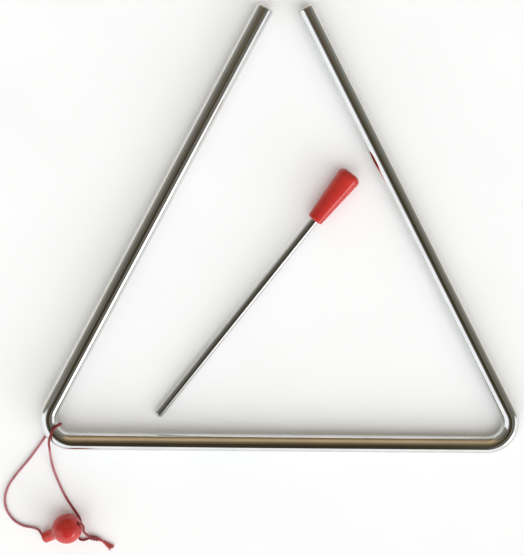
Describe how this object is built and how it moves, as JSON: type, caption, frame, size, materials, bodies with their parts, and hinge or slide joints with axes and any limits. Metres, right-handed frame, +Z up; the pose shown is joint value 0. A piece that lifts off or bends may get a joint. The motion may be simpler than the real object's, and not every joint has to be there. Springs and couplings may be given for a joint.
{
  "type": "triangle instrument",
  "caption": "Round chromed bar bent into an open triangle, hung on a looped cord with a holder bead, lying beside its rod beater with a tapered moulded grip.",
  "frame": {"origin": "on the table, under the middle of the triangle's outline with the beater inside it", "axes": "+X along the bottom bar, +Y towards the open corner, +Z up from the table it lies on"},
  "size_m": [0.1898, 0.2011, 0.0111],
  "materials": {
    "chrome_bar": "polished chrome plate on round steel bar",
    "beater_steel": "bright plated steel rod",
    "red_plastic": "glossy red moulded plastic",
    "red_cord": "thin dull red twisted cord"
  },
  "bodies": {
    "triangle": {"triangle_bar": "chrome_bar"},
    "hanger": {"hanger_cord": "red_cord", "hanger_knot": "red_cord", "cord_tail": "red_cord"},
    "bead": {"holder_bead": "red_plastic"},
    "beater": {"beater_rod": "beater_steel", "beater_grip": "red_plastic"}
  },
  "joints": [
    {"name": "hanger_swing", "type": "hinge", "parent": "triangle", "child": "hanger", "pos_m": [-0.07584, -0.06863, 0.00443], "axis": [0, 0, 1], "range_deg": [-58, 55]},
    {"name": "bead_spin", "type": "hinge", "parent": "hanger", "child": "bead", "pos_m": [-0.07805, -0.11024, 0.00555], "axis": [0.825, 0.4517, 0.3396], "continuous": true},
    {"name": "beater_lift", "type": "slide", "parent": "triangle", "child": "beater", "axis": [0, 0, 1], "range_m": [0, 0.12]}
  ]
}
